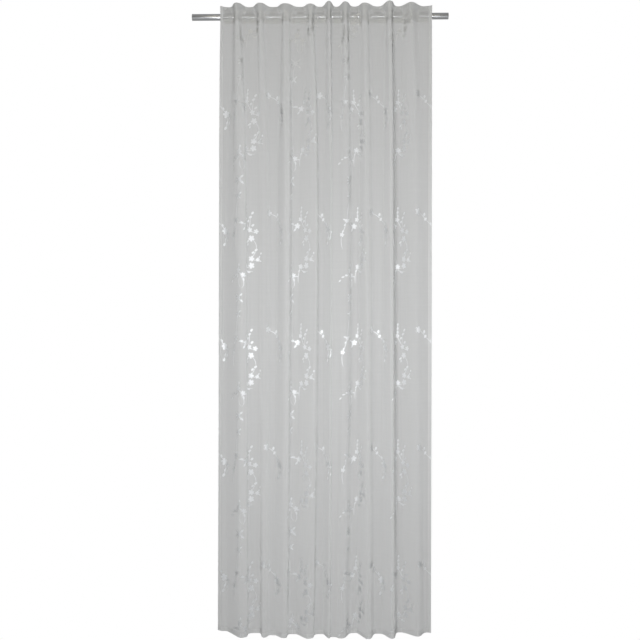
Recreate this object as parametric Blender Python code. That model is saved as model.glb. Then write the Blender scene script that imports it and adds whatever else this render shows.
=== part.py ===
"""A sheer voile curtain, gathered along a plain round rod by hidden loops on its back.

Metres, +Z up, +X to the right, and the viewer stands at -Y. The origin is the middle of the rod.
The cloth is one flat panel, cut FLAT_WIDTH wide, pushed together on the rod. Each row of the tables
below is one fold: the cloth lies flat on the rod at a valley, and comes forward to a crest between
two of them. At every height the folds are as deep as it takes to use up the whole flat width.
"""

import math
from collections import namedtuple

import bmesh
import bpy

MM = 0.001

# The rod
ROD_LENGTH = 1.000
ROD_RADIUS = 0.0125
ROD_SIDES = 48
ROD_END_BEVEL = 0.0008

# The cloth
FLAT_WIDTH = 1.400
DROP = 2.450
HEADING_ABOVE_ROD = 0.034
VOILE_THICKNESS = 0.0012
HEM_EXTRA_THICKNESS = 0.0008
SIDE_HEM = 0.015
BOTTOM_HEM = 0.018
HEM_STEP = 0.002

# The heading tape and its loops
GAP = 0.0003
TAPE_THICKNESS = 0.0010
TAPE_TOP = 0.030
TAPE_BOTTOM = -0.030
TAPE_INSET = 0.020
TAPE_BEHIND_ROD_FRONT = 0.0008
LOOP_WIDTH = 0.030
LOOP_THICKNESS = 0.0010
LOOP_ROD_CLEARANCE = 0.0004
LOOP_FOOT_TOP = 0.028
LOOP_FOOT_INNER = 0.0175
LOOP_ARC_STEPS = 10

# Where the cloth's middle layer lies on the rod, and how soon its folds leave the heading's shape
TAPE_BACK_Y = -ROD_RADIUS - TAPE_BEHIND_ROD_FRONT
VOILE_Y = TAPE_BACK_Y - TAPE_THICKNESS - GAP - VOILE_THICKNESS / 2
SETTLE = 0.14

# The folds, left to right, in millimetres. x is measured from the middle of the rod, at the
# heading, at half height and at the hem. y_mid and y_hem are places behind (+) or in front (-) of
# the rod's middle. flat is half the width that lies flat, and forward is the depth of the fold at
# the heading. left and right say how steep a crest's two walls are, at the heading and below it: less
# than 0 for an even slope, 0 for a slack wave, 1 for a wall that stands square and more if it leans
# over. Above the rod the heading is free, and at its top edge only FREE_FLAT of each flat and
# FREE_STEEP of each wall's steepness is left, so that the top edge is a smooth wave.
FREE_FLAT = 0.15
FREE_STEEP = 0.4
Valley = namedtuple("Valley", "x_top x_mid x_hem y_mid y_hem flat_top flat_mid flat_hem")
Crest = namedtuple(
    "Crest",
    "x_top x_mid x_hem forward_top y_mid y_hem left_top right_top left_below right_below",
)
Edge = namedtuple("Edge", "x_top x_mid x_hem forward_top y_mid y_hem")

LEFT_EDGE = Edge(-386, -403, -407, 16, 50, 57)
RIGHT_EDGE = Edge(434, 436, 436, 10, -4, 36)

VALLEYS = [
    Valley(-357, -388, -378, 44, 46, 17, 2, 4),
    Valley(-274, -257, -250, -9, 25, 25, 9, 8),
    Valley(-181, -180, -187, 16, 1, 29, 4, 6),
    Valley(-76, -92, -106, 12, 14, 22, 6, 8),
    Valley(2, 7, 4, 18, 16, 17, 5, 6),
    Valley(64, 59, 47, -8, -17, 17, 8, 3),
    Valley(134, 143, 134, 30, 32, 17, 6, 5),
    Valley(225, 229, 230, 4, 25, 25, 14, 7),
    Valley(304, 304, 316, 34, 41, 17, 5, 6),
    Valley(405, 418, 422, -4, 42, 19, 6, 2),
]

CRESTS = [
    Crest(-319, -301, -307, 50, -41, -32, 0.9, 0.5, -0.30, 1.10),
    Crest(-231, -216, -217, 47, -1, -28, 0.6, 0.6, 0.50, 0.60),
    Crest(-136, -125, -140, 40, -55, -33, 0.6, 0.9, -0.10, 0.95),
    Crest(-37, -10, -46, 36, -28, -38, 0.5, 0.8, -0.20, 0.95),
    Crest(36, 46, 35, 62, -10, -32, 0.4, 0.9, -0.10, 0.85),
    Crest(97, 106, 84, 56, -2, -32, 0.3, 0.9, 0.75, 0.30),
    Crest(172, 182, 186, 42, -20, -39, 0.6, 0.5, -0.10, 0.45),
    Crest(268, 276, 280, 62, -50, -32, 0.6, 1.1, -0.10, 0.60),
    Crest(350, 372, 380, 47, -22, -7, -0.2, 0.1, -0.30, 0.20),
]

# Sampling: points on half a fold, threads that run down the cloth, and rows across it
STEPS_PER_HALF_FOLD = 24
STEPS_AT_EDGE = 12
MIDDLE_THREADS = 130
STRETCH_ROUNDS = 40
FOLDS_START = -0.034
FREE_FROM = 0.004
ROWS_ABOVE_ROD = (TAPE_TOP, 0.018, FREE_FROM)
ROWS_BELOW_ROD = (-0.070, -0.130, -0.220, -0.340, -0.500, -0.700, -0.950, -1.200, -1.450, -1.700,
                  -1.950, -2.200)

HEM_Z = HEADING_ABOVE_ROD - DROP


def clear_scene():
    for old in list(bpy.data.objects):
        bpy.data.objects.remove(old, do_unlink=True)


def finish(name, color, roughness, metallic=0.0):
    """A plain material in the colour of the real one."""
    material = bpy.data.materials.new(name)
    material.use_nodes = True
    shader = material.node_tree.nodes["Principled BSDF"]
    shader.inputs["Base Color"].default_value = (*color, 1.0)
    shader.inputs["Roughness"].default_value = roughness
    shader.inputs["Metallic"].default_value = metallic
    return material


def add_object(name, mesh, material, parent):
    if not mesh.materials:
        mesh.materials.append(material)
    obj = bpy.data.objects.new(name, mesh)
    bpy.context.scene.collection.objects.link(obj)
    obj.parent = parent
    return obj


# ---------------------------------------------------------------- the folds


def hang(z):
    """How far down the folds a height is: 0 all over the stiff heading, 1 at the hem."""
    return max(0.0, (FOLDS_START - z) / (FOLDS_START - HEM_Z))


def free(z):
    """How free the heading is: 0 on the rod and below it, 1 at the top edge."""
    t = max(0.0, (z - FREE_FROM) / (HEADING_ABOVE_ROD - FREE_FROM))
    return t * t * (3 - 2 * t)


def between(top, mid, hem, s):
    """A value that leaves the heading's soon, and is the middle's and then the hem's further down."""
    from_top = math.exp(-s / SETTLE)
    from_hem = s * s
    return top * from_top + mid * (1 - from_top - from_hem) + hem * from_hem


def half_fold(start, end, steep, steps):
    """Points from one turning point to the next, level at both, without the last one."""
    points = []
    for i in range(steps):
        t = i / steps
        across = t + steep * math.sin(2 * math.pi * t) / (2 * math.pi)
        rise = (1 - math.cos(math.pi * t)) / 2
        points.append((start[0] + (end[0] - start[0]) * across, start[1] + (end[1] - start[1]) * rise))
    return points


def edge_curl(inner, outer):
    """Points from the last valley out to the free edge, level at the valley only."""
    points = []
    for i in range(1, STEPS_AT_EDGE + 1):
        t = i / STEPS_AT_EDGE
        rise = 1 - math.cos(math.pi * t / 2)
        points.append((inner[0] + (outer[0] - inner[0]) * t, inner[1] + (outer[1] - inner[1]) * rise))
    return points


def wave(z, stretch):
    """The line of the cloth at a height, left to right, as x and the way in front."""
    s = hang(z)
    flat_share = 1 - free(z) * (1 - FREE_FLAT)
    steep_share = 1 - free(z) * (1 - FREE_STEEP)
    valleys = []
    for v in VALLEYS:
        x = between(v.x_top, v.x_mid, v.x_hem, s) * MM
        flat = between(v.flat_top, v.flat_mid, v.flat_hem, s) * flat_share * MM
        ahead = stretch * between(0, -v.y_mid, -v.y_hem, s) * MM
        valleys.append(((x - flat, ahead), (x + flat, ahead)))
    edges = []
    for e in (LEFT_EDGE, RIGHT_EDGE):
        x = between(e.x_top, e.x_mid, e.x_hem, s) * MM
        edges.append((x, stretch * between(e.forward_top, -e.y_mid, -e.y_hem, s) * MM))

    points = list(reversed(edge_curl(valleys[0][0], edges[0])))
    for i, crest in enumerate(CRESTS):
        x = between(crest.x_top, crest.x_mid, crest.x_hem, s) * MM
        top = (x, stretch * between(crest.forward_top, -crest.y_mid, -crest.y_hem, s) * MM)
        points.append(valleys[i][0])
        left = between(crest.left_top, crest.left_below, crest.left_below, s) * steep_share
        right = between(crest.right_top, crest.right_below, crest.right_below, s) * steep_share
        points += half_fold(valleys[i][1], top, left, STEPS_PER_HALF_FOLD)
        points += half_fold(top, valleys[i + 1][0], right, STEPS_PER_HALF_FOLD)
    points += [valleys[-1][0], valleys[-1][1]]
    return points + edge_curl(valleys[-1][1], edges[1])


def distances(points):
    """The length of cloth from the left edge to each point."""
    out = [0.0]
    for a, b in zip(points, points[1:]):
        out.append(out[-1] + math.dist(a, b))
    return out


def line_at(z):
    """The cloth's line at a height, its folds deepened until they hold the whole flat width."""
    low, high = 0.3, 2.5
    for _ in range(STRETCH_ROUNDS):
        stretch = (low + high) / 2
        if distances(wave(z, stretch))[-1] < FLAT_WIDTH:
            low = stretch
        else:
            high = stretch
    plane = between(VOILE_Y, 0, 0, hang(z))
    points = [(x, plane - ahead) for x, ahead in wave(z, stretch)]
    return points, distances(points)


def place_threads(z, threads):
    """Where each thread, named by its place across the flat cloth, passes a height."""
    points, along = line_at(z)
    placed = []
    i = 0
    for u in threads:
        while i < len(points) - 2 and along[i + 1] < u:
            i += 1
        t = min(1.0, (u - along[i]) / (along[i + 1] - along[i]))
        a, b = points[i], points[i + 1]
        placed.append((a[0] + (b[0] - a[0]) * t, a[1] + (b[1] - a[1]) * t, z))
    return placed


# ---------------------------------------------------------------- solids


def offset_row(row, offsets):
    """A row moved sideways off the cloth's middle layer, by an offset for each thread."""
    moved = []
    for i, (x, y, z) in enumerate(row):
        before, after = row[max(i - 1, 0)], row[min(i + 1, len(row) - 1)]
        dx, dy = after[0] - before[0], after[1] - before[1]
        size = math.hypot(dx, dy)
        moved.append((x - dy / size * offsets[i], y + dx / size * offsets[i], z))
    return moved


def sheet_solid(name, rows, front, back):
    """A closed sheet: rows of points from the top down, with its front and back offsets."""
    mesh_build = bmesh.new()
    faces = []
    for offsets in (front, back):
        faces.append([
            [mesh_build.verts.new(p) for p in offset_row(row, offsets[r])] for r, row in enumerate(rows)
        ])
    ahead, behind = faces
    last_row, last = len(rows) - 1, len(rows[0]) - 1
    for r in range(last_row):
        for i in range(last):
            mesh_build.faces.new((ahead[r][i], ahead[r + 1][i], ahead[r + 1][i + 1], ahead[r][i + 1]))
            mesh_build.faces.new((behind[r][i], behind[r][i + 1], behind[r + 1][i + 1], behind[r + 1][i]))
        mesh_build.faces.new((ahead[r][0], behind[r][0], behind[r + 1][0], ahead[r + 1][0]))
        mesh_build.faces.new((ahead[r][last], ahead[r + 1][last], behind[r + 1][last], behind[r][last]))
    for i in range(last):
        mesh_build.faces.new((ahead[0][i], ahead[0][i + 1], behind[0][i + 1], behind[0][i]))
        bottom = last_row
        mesh_build.faces.new((ahead[bottom][i], behind[bottom][i], behind[bottom][i + 1], ahead[bottom][i + 1]))
    mesh = bpy.data.meshes.new(name)
    mesh_build.to_mesh(mesh)
    mesh_build.free()
    mesh.shade_smooth()
    mesh.set_sharp_from_angle(angle=math.radians(50))
    return mesh


def thread_places():
    """Places across the flat cloth: the two side hems with their steps, and even threads between."""
    hem = [0.0, SIDE_HEM / 2, SIDE_HEM]
    start = SIDE_HEM + HEM_STEP
    pitch = (FLAT_WIDTH - 2 * start) / MIDDLE_THREADS
    middle = [start + pitch * i for i in range(MIDDLE_THREADS + 1)]
    return hem + middle + [FLAT_WIDTH - u for u in reversed(hem)]


def build_voile(material, parent):
    """The panel, with its bottom and side hems as thicker cloth on the back."""
    threads = thread_places()
    hem_top = HEM_Z + BOTTOM_HEM
    heights = [HEADING_ABOVE_ROD, *ROWS_ABOVE_ROD, FOLDS_START, *ROWS_BELOW_ROD]
    heights += [hem_top + HEM_STEP, hem_top, HEM_Z]
    rows = [place_threads(z, threads) for z in heights]
    half = VOILE_THICKNESS / 2
    front = [[-half] * len(threads) for _ in heights]
    back = []
    for z in heights:
        in_bottom_hem = z <= hem_top
        back.append([
            half + HEM_EXTRA_THICKNESS
            if in_bottom_hem or u <= SIDE_HEM or u >= FLAT_WIDTH - SIDE_HEM
            else half
            for u in threads
        ])
    return add_object("voile_panel", sheet_solid("voile_panel", rows, front, back), material, parent)


def build_tape(material, parent):
    """The heading tape: a stiff band on the back of the heading that takes every fold with it."""
    threads = [u for u in thread_places() if TAPE_INSET <= u <= FLAT_WIDTH - TAPE_INSET]
    rows = [place_threads(z, threads) for z in (*ROWS_ABOVE_ROD, TAPE_BOTTOM)]
    near = VOILE_THICKNESS / 2 + GAP
    front = [[near] * len(threads)] * len(rows)
    back = [[near + TAPE_THICKNESS] * len(threads)] * len(rows)
    return add_object("heading_tape", sheet_solid("heading_tape", rows, front, back), material, parent)


def loop_line():
    """One side of a loop, seen along the rod: down the tape, round the rod and down again."""
    foot_y = TAPE_BACK_Y + GAP + LOOP_THICKNESS / 2
    reach = ROD_RADIUS + LOOP_ROD_CLEARANCE + LOOP_THICKNESS / 2
    turn = LOOP_FOOT_INNER - reach
    upper = [(foot_y, LOOP_FOOT_TOP), (foot_y, LOOP_FOOT_INNER)]
    upper.append((foot_y + turn * 0.3, LOOP_FOOT_INNER - turn * 0.7))
    upper.append((foot_y + turn, reach))
    around = []
    for i in range(LOOP_ARC_STEPS + 1):
        angle = math.pi / 2 - math.pi * i / LOOP_ARC_STEPS
        around.append((reach * math.cos(angle), reach * math.sin(angle)))
    lower = [(y, -z) for y, z in reversed(upper)]
    return upper + around + lower


def loop_mesh():
    """A loop of tape, as a strip of even thickness round its line."""
    line = loop_line()
    inner, outer = [], []
    for i, (y, z) in enumerate(line):
        before, after = line[max(i - 1, 0)], line[min(i + 1, len(line) - 1)]
        dy, dz = after[0] - before[0], after[1] - before[1]
        size = math.hypot(dy, dz)
        across = (-dz / size * LOOP_THICKNESS / 2, dy / size * LOOP_THICKNESS / 2)
        outer.append((y + across[0], z + across[1]))
        inner.append((y - across[0], z - across[1]))
    ring = inner + list(reversed(outer))
    mesh_build = bmesh.new()
    sides = []
    for x in (-LOOP_WIDTH / 2, LOOP_WIDTH / 2):
        sides.append([mesh_build.verts.new((x, y, z)) for y, z in ring])
    left, right = sides
    count = len(ring)
    for i in range(count):
        j = (i + 1) % count
        mesh_build.faces.new((left[i], left[j], right[j], right[i]))
    for i in range(len(line) - 1):
        j = count - 1 - i
        mesh_build.faces.new((left[i], left[j], left[j - 1], left[i + 1]))
        mesh_build.faces.new((right[i], right[i + 1], right[j - 1], right[j]))
    bmesh.ops.recalc_face_normals(mesh_build, faces=mesh_build.faces)
    mesh = bpy.data.meshes.new("loop")
    mesh_build.to_mesh(mesh)
    mesh_build.free()
    mesh.shade_smooth()
    mesh.set_sharp_from_angle(angle=math.radians(50))
    return mesh


def build_loops(material, parent):
    """One loop at every valley, where the cloth lies flat on the rod."""
    mesh = loop_mesh()
    for number, valley in enumerate(VALLEYS, start=1):
        loop = add_object(f"tab_{number:02d}", mesh, material, parent)
        loop.location.x = valley.x_top * MM


def build_rod(material, parent):
    """The plain round rod, lying along X, with flat ends."""
    mesh_build = bmesh.new()
    bmesh.ops.create_cone(
        mesh_build, cap_ends=True, segments=ROD_SIDES, radius1=ROD_RADIUS, radius2=ROD_RADIUS, depth=ROD_LENGTH
    )
    mesh = bpy.data.meshes.new("rod")
    mesh_build.to_mesh(mesh)
    mesh_build.free()
    mesh.shade_smooth()
    mesh.set_sharp_from_angle(angle=math.radians(30))
    rod = add_object("rod", mesh, material, parent)
    rod.rotation_euler.y = math.pi / 2
    bevel = rod.modifiers.new("ends", "BEVEL")
    bevel.width = ROD_END_BEVEL
    bevel.segments = 2
    bevel.limit_method = "ANGLE"
    bevel.angle_limit = math.radians(60)


def main():
    clear_scene()
    voile = finish("sheer voile", (0.72, 0.71, 0.68), 0.85)
    woven_tape = finish("woven heading tape", (0.78, 0.77, 0.74), 0.9)
    chrome = finish("chromed steel", (0.62, 0.62, 0.63), 0.15, metallic=1.0)

    middle = bpy.data.objects.new("middle_of_rod", None)
    bpy.context.scene.collection.objects.link(middle)

    build_rod(chrome, middle)
    build_voile(voile, middle)
    build_tape(woven_tape, middle)
    build_loops(woven_tape, middle)


main()
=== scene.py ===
# %% [markdown]
# # A sheer voile curtain on a chromed rod
#
# The curtain is one panel of sheer cloth with blossom sprays woven into it. It hangs from a round
# rod by loops of tape that are hidden on its back. A curtain maker works flat on a table: weave, hem,
# sew the tape on, and only then hang it up, where it falls into folds. This script does the same.
# Everything that is woven in or sewn on is made flat, in the cloth's own measures, and one function
# then hangs all of it in the same folds. So a blossom bends where the cloth under it bends.
#
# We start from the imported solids, which fix every size. They are metres, +X right, +Z up, and the
# viewer stands at -Y. The origin is the middle of the rod.

# %% Load the frame
import math
from collections import namedtuple

import bmesh
import bpy
import numpy as np
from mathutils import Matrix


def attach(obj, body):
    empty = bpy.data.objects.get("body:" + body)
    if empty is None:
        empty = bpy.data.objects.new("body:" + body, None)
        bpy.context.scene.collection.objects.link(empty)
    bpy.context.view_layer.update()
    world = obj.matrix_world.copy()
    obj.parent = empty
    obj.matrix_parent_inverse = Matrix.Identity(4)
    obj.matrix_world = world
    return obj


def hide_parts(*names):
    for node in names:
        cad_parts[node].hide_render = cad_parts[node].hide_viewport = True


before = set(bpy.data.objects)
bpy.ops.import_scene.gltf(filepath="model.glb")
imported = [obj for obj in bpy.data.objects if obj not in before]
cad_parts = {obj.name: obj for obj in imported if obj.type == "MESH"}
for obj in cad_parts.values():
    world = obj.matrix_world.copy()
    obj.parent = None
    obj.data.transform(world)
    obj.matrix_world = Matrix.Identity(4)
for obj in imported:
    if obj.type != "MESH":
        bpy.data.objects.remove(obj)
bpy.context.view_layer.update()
MM = 0.001

# %% [markdown]
# ## Small helpers
#
# Colours are easiest to judge as the hex values of a picture, but Blender's sockets take linear
# light, so one function turns one into the other. Every node of every tree below is added by
# `add_node`, which sets what has a fixed value and links what comes from another node. The others
# wrap what comes up again and again: arithmetic, ranges, mixes, nets of faces and new meshes.

# %% Helpers for colours, nodes and meshes


def linear(hex_colour):
    """An sRGB colour such as "d8d6d0" as the linear RGBA that Blender's sockets take."""
    shares = [int(hex_colour[i : i + 2], 16) / 255 for i in (0, 2, 4)]
    light = [c / 12.92 if c <= 0.04045 else ((c + 0.055) / 1.055) ** 2.4 for c in shares]
    return (*light, 1.0)


def add_node(tree, kind, values=None):
    """Add a node. A value is a property, a fixed input, or the node or socket to link there."""
    node = tree.nodes.new(kind)
    for name, value in (values or {}).items():
        if isinstance(value, bpy.types.Node):
            value = value.outputs[0]
        if isinstance(value, bpy.types.NodeSocket):
            tree.links.new(value, node.inputs[name])
        elif isinstance(name, str) and hasattr(node, name):
            setattr(node, name, value)
        else:
            node.inputs[name].default_value = value
    return node


def calc(tree, operation, *values):
    """A Math node on up to three numbers, nodes or sockets."""
    return add_node(tree, "ShaderNodeMath", {"operation": operation, **dict(enumerate(values))})


def map_range(tree, value, start, end, low=0.0, high=1.0):
    """A value carried over from one range to another, and held at its ends."""
    given = {"From Min": start, "From Max": end, "To Min": low, "To Max": high, "Value": value}
    return add_node(tree, "ShaderNodeMapRange", given)


def combine(tree, **ways):
    return add_node(tree, "ShaderNodeCombineXYZ", ways)


def mix_colours(tree, share, one, other):
    """From one hex colour to the other, by a share."""
    colours = {"data_type": "RGBA", 0: share, 6: linear(one), 7: linear(other)}
    return add_node(tree, "ShaderNodeMix", colours).outputs[2]


def mix_shaders(tree, share, one, other):
    return add_node(tree, "ShaderNodeMixShader", {0: share, 1: one, 2: other})


def new_mesh(name, verts, edges=(), faces=()):
    mesh = bpy.data.meshes.new(name)
    mesh.from_pydata(verts, list(edges), list(faces))
    return mesh


def grid_faces(rows, wide):
    """The faces of a net of points that are numbered row by row."""
    return [
        (r * wide + c, (r + 1) * wide + c, (r + 1) * wide + c + 1, r * wide + c + 1)
        for r in range(rows - 1)
        for c in range(wide - 1)
    ]


def place(name, mesh):
    """An object for a mesh, at the origin, in the scene."""
    obj = bpy.data.objects.new(name, mesh)
    bpy.context.scene.collection.objects.link(obj)
    return obj


def plain_mesh(obj):
    """What the object's modifiers make of it, as a plain mesh; the modifiers are then removed."""
    view = bpy.context.evaluated_depsgraph_get()
    made = bpy.data.meshes.new_from_object(obj.evaluated_get(view))
    obj.modifiers.clear()
    obj.data = made
    return obj


def thicken(obj, thickness, offset):
    """Give a sheet its thickness: half to each side for an offset of 0, all behind it for -1."""
    solid = obj.modifiers.new("thickness", "SOLIDIFY")
    solid.thickness = thickness
    solid.offset = offset
    plain_mesh(obj)


def smooth(mesh, sharp_from):
    """Smooth shading, but for edges that turn by more than this many degrees."""
    mesh.shade_smooth()
    mesh.set_sharp_from_angle(angle=math.radians(sharp_from))


def triangles(obj):
    return sum(len(face.vertices) - 2 for face in obj.data.polygons)


# %% [markdown]
# ## The camera
#
# A camera about 3.7 m away, level with the curtain's middle and a little to its right, fits the
# picture. The lens follows from it: 640 pixels across, each 3.9 mm wide where the rod is.

# %% Camera
CAMERA_DISTANCE = 3.70
CAMERA_YAW = math.radians(1.0)
PICTURE_MIDDLE_Z = -1.184
PICTURE_PIXELS = 640
PIXEL_AT_ROD = 3.904 * MM
SENSOR_WIDTH = 36.0

camera_data = bpy.data.cameras.new("camera")
camera_data.sensor_width = SENSOR_WIDTH
camera_data.lens = SENSOR_WIDTH * CAMERA_DISTANCE / (PICTURE_PIXELS * PIXEL_AT_ROD)
camera_data.clip_end = 100
camera = bpy.data.objects.new("camera", camera_data)
bpy.context.scene.collection.objects.link(camera)
camera.location = (
    CAMERA_DISTANCE * math.sin(CAMERA_YAW),
    -CAMERA_DISTANCE * math.cos(CAMERA_YAW),
    PICTURE_MIDDLE_Z,
)
camera.rotation_euler = (math.pi / 2, 0, CAMERA_YAW)
bpy.context.scene.camera = camera
print("lens in mm:", round(camera_data.lens, 1))

# %% [markdown]
# ## How the cloth hangs
#
# 1.40 m of cloth is pushed together to 0.83 m on the rod. At each loop it lies flat on the rod, and
# between two loops the spare cloth comes forward in a fold. These are the same tables and the same
# rule as in the part's source: a row for each fold, with its place at the heading, at half height
# and at the hem, in millimetres. At each height the folds are made just as deep as it takes to use
# up the whole flat width. A cloth simulation could find folds too, but not these ones in these places.
# Above the rod nothing presses the cloth flat, so there the folds slacken to a smooth wave.
#
# Each side of a crest has a steepness: less than 0 for an even slope, 0 for a slack wave, 1 for a
# wall that stands square, and more if it leans over. How deep the real folds are doesn't show from
# the front. That they hold 1.40 m is an assumption, from the stock width of such panels.

# %% The folds, as in the solids
FLAT_WIDTH = 1.400
TOP_Z = 0.034
HEM_Z = TOP_Z - 2.450
VOILE_Y = -0.0152
FREE_FROM = 0.004
FOLDS_START = -0.034
SETTLE = 0.14
FREE_FLAT = 0.15
FREE_STEEP = 0.4

Valley = namedtuple("Valley", "x_top x_mid x_hem y_mid y_hem flat_top flat_mid flat_hem")
Crest = namedtuple(
    "Crest",
    "x_top x_mid x_hem forward_top y_mid y_hem left_top right_top left_below right_below",
)
Edge = namedtuple("Edge", "x_top x_mid x_hem forward_top y_mid y_hem")

LEFT_EDGE = Edge(-386, -403, -407, 16, 50, 57)
RIGHT_EDGE = Edge(434, 436, 436, 10, -4, 36)

VALLEYS = [
    Valley(-357, -388, -378, 44, 46, 17, 2, 4),
    Valley(-274, -257, -250, -9, 25, 25, 9, 8),
    Valley(-181, -180, -187, 16, 1, 29, 4, 6),
    Valley(-76, -92, -106, 12, 14, 22, 6, 8),
    Valley(2, 7, 4, 18, 16, 17, 5, 6),
    Valley(64, 59, 47, -8, -17, 17, 8, 3),
    Valley(134, 143, 134, 30, 32, 17, 6, 5),
    Valley(225, 229, 230, 4, 25, 25, 14, 7),
    Valley(304, 304, 316, 34, 41, 17, 5, 6),
    Valley(405, 418, 422, -4, 42, 19, 6, 2),
]

CRESTS = [
    Crest(-319, -301, -307, 50, -41, -32, 0.9, 0.5, -0.30, 1.10),
    Crest(-231, -216, -217, 47, -1, -28, 0.6, 0.6, 0.50, 0.60),
    Crest(-136, -125, -140, 40, -55, -33, 0.6, 0.9, -0.10, 0.95),
    Crest(-37, -10, -46, 36, -28, -38, 0.5, 0.8, -0.20, 0.95),
    Crest(36, 46, 35, 62, -10, -32, 0.4, 0.9, -0.10, 0.85),
    Crest(97, 106, 84, 56, -2, -32, 0.3, 0.9, 0.75, 0.30),
    Crest(172, 182, 186, 42, -20, -39, 0.6, 0.5, -0.10, 0.45),
    Crest(268, 276, 280, 62, -50, -32, 0.6, 1.1, -0.10, 0.60),
    Crest(350, 372, 380, 47, -22, -7, -0.2, 0.1, -0.30, 0.20),
]

POINTS_PER_HALF_FOLD = 40
POINTS_AT_EDGE = 16


def hang(z):
    """How far down the folds a height is: 0 all over the stiff heading, 1 at the hem."""
    return max(0.0, (FOLDS_START - z) / (FOLDS_START - HEM_Z))


def free(z):
    """How free the heading is: 0 on the rod and below it, 1 at the top edge."""
    t = max(0.0, (z - FREE_FROM) / (TOP_Z - FREE_FROM))
    return t * t * (3 - 2 * t)


def between(top, mid, hem, s):
    """A value that leaves the heading's soon, and is the middle's and then the hem's further down."""
    from_top = math.exp(-s / SETTLE)
    from_hem = s * s
    return top * from_top + mid * (1 - from_top - from_hem) + hem * from_hem


def half_fold(start, end, steep):
    """Points from one turning point to the next, level at both, without the last one."""
    t = np.arange(POINTS_PER_HALF_FOLD) / POINTS_PER_HALF_FOLD
    across = t + steep * np.sin(2 * np.pi * t) / (2 * np.pi)
    rise = (1 - np.cos(np.pi * t)) / 2
    start, end = np.array(start), np.array(end)
    return start + (end - start) * np.stack([across, rise], axis=1)


def edge_curl(inner, outer):
    """Points from the last valley out to the free edge, level at the valley only."""
    t = np.arange(1, POINTS_AT_EDGE + 1) / POINTS_AT_EDGE
    inner, outer = np.array(inner), np.array(outer)
    return inner + (outer - inner) * np.stack([t, 1 - np.cos(np.pi * t / 2)], axis=1)


def wave(z, stretch):
    """The line of the cloth at a height, left to right, as x and the way in front."""
    s = hang(z)
    flat_share = 1 - free(z) * (1 - FREE_FLAT)
    steep_share = 1 - free(z) * (1 - FREE_STEEP)
    ends = []
    for v in VALLEYS:
        x = between(v.x_top, v.x_mid, v.x_hem, s) * MM
        flat = between(v.flat_top, v.flat_mid, v.flat_hem, s) * flat_share * MM
        ahead = stretch * between(0, -v.y_mid, -v.y_hem, s) * MM
        ends.append(((x - flat, ahead), (x + flat, ahead)))
    edges = []
    for e in (LEFT_EDGE, RIGHT_EDGE):
        x = between(e.x_top, e.x_mid, e.x_hem, s) * MM
        edges.append((x, stretch * between(e.forward_top, -e.y_mid, -e.y_hem, s) * MM))
    runs = [edge_curl(ends[0][0], edges[0])[::-1]]
    for i, crest in enumerate(CRESTS):
        x = between(crest.x_top, crest.x_mid, crest.x_hem, s) * MM
        top = (x, stretch * between(crest.forward_top, -crest.y_mid, -crest.y_hem, s) * MM)
        runs.append([ends[i][0]])
        left = between(crest.left_top, crest.left_below, crest.left_below, s) * steep_share
        right = between(crest.right_top, crest.right_below, crest.right_below, s) * steep_share
        runs.append(half_fold(ends[i][1], top, left))
        runs.append(half_fold(top, ends[i + 1][0], right))
    runs.append([ends[-1][0], ends[-1][1]])
    runs.append(edge_curl(ends[-1][1], edges[1]))
    return np.concatenate(runs)


def lengths(line):
    """The length of cloth from the left edge to each point of a line."""
    steps = np.linalg.norm(np.diff(line, axis=0), axis=1)
    return np.concatenate([[0.0], np.cumsum(steps)])


def line_at(z):
    """The cloth's line at a height, its folds deepened until they hold the whole flat width."""
    low, high = 0.3, 2.5
    while high - low > 1e-6:
        stretch = (low + high) / 2
        if lengths(wave(z, stretch))[-1] < FLAT_WIDTH:
            low = stretch
        else:
            high = stretch
    line = wave(z, stretch)
    return np.stack([line[:, 0], between(VOILE_Y, 0, 0, hang(z)) - line[:, 1]], axis=1), stretch


print("stretch at the top, the rod, the middle and the hem:",
      [round(line_at(z)[1], 3) for z in (TOP_Z, 0, (TOP_Z + HEM_Z) / 2, HEM_Z)])

# %% [markdown]
# ## The hanging chart
#
# Now the rule is worked out once, on a fine net of threads and heights. For each crossing the chart
# holds where that bit of cloth hangs and which way its right side faces. A flat place is given as
# (from the left edge, height, above the cloth), and `hung` reads the chart between its crossings.

# %% The chart, and the function that hangs flat work
THREAD_COUNT = 480
HEIGHT_STEPS = [(TOP_Z, 0.006), (FOLDS_START, 0.009), (-0.340, 0.014), (-1.000, 0.020)]


def chart_heights():
    """Heights from the top down to the hem, closer together where the folds still change."""
    starts = [start for start, _ in HEIGHT_STEPS] + [HEM_Z]
    heights = []
    for (start, step), end in zip(HEIGHT_STEPS, starts[1:]):
        count = max(1, round((start - end) / step))
        heights += list(np.linspace(start, end, count, endpoint=False))
    return np.array(heights + [HEM_Z])


HEIGHTS = chart_heights()
THREADS = np.linspace(0, FLAT_WIDTH, THREAD_COUNT + 1)


def cloth_chart():
    places = np.empty((len(HEIGHTS), len(THREADS), 3))
    for row, z in enumerate(HEIGHTS):
        line, _ = line_at(z)
        along = lengths(line)
        places[row, :, 0] = np.interp(THREADS, along, line[:, 0])
        places[row, :, 1] = np.interp(THREADS, along, line[:, 1])
        places[row, :, 2] = z
    return places


def right_sides(places):
    """Unit vectors away from the cloth's right side, towards the viewer."""
    across = np.gradient(places, axis=1)
    down = np.gradient(places, axis=0)
    out = np.cross(down, across)
    out /= np.linalg.norm(out, axis=2, keepdims=True)
    return out


PLACES = cloth_chart()
FACING = right_sides(PLACES)


# %% [markdown]
# ## Soft creases
#
# Between the folds a thin cloth also keeps slight creases. They start and end softly and are at most
# 2 mm high. They are placed one by one in a short table, since chance wrinkles would fall elsewhere.

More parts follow.
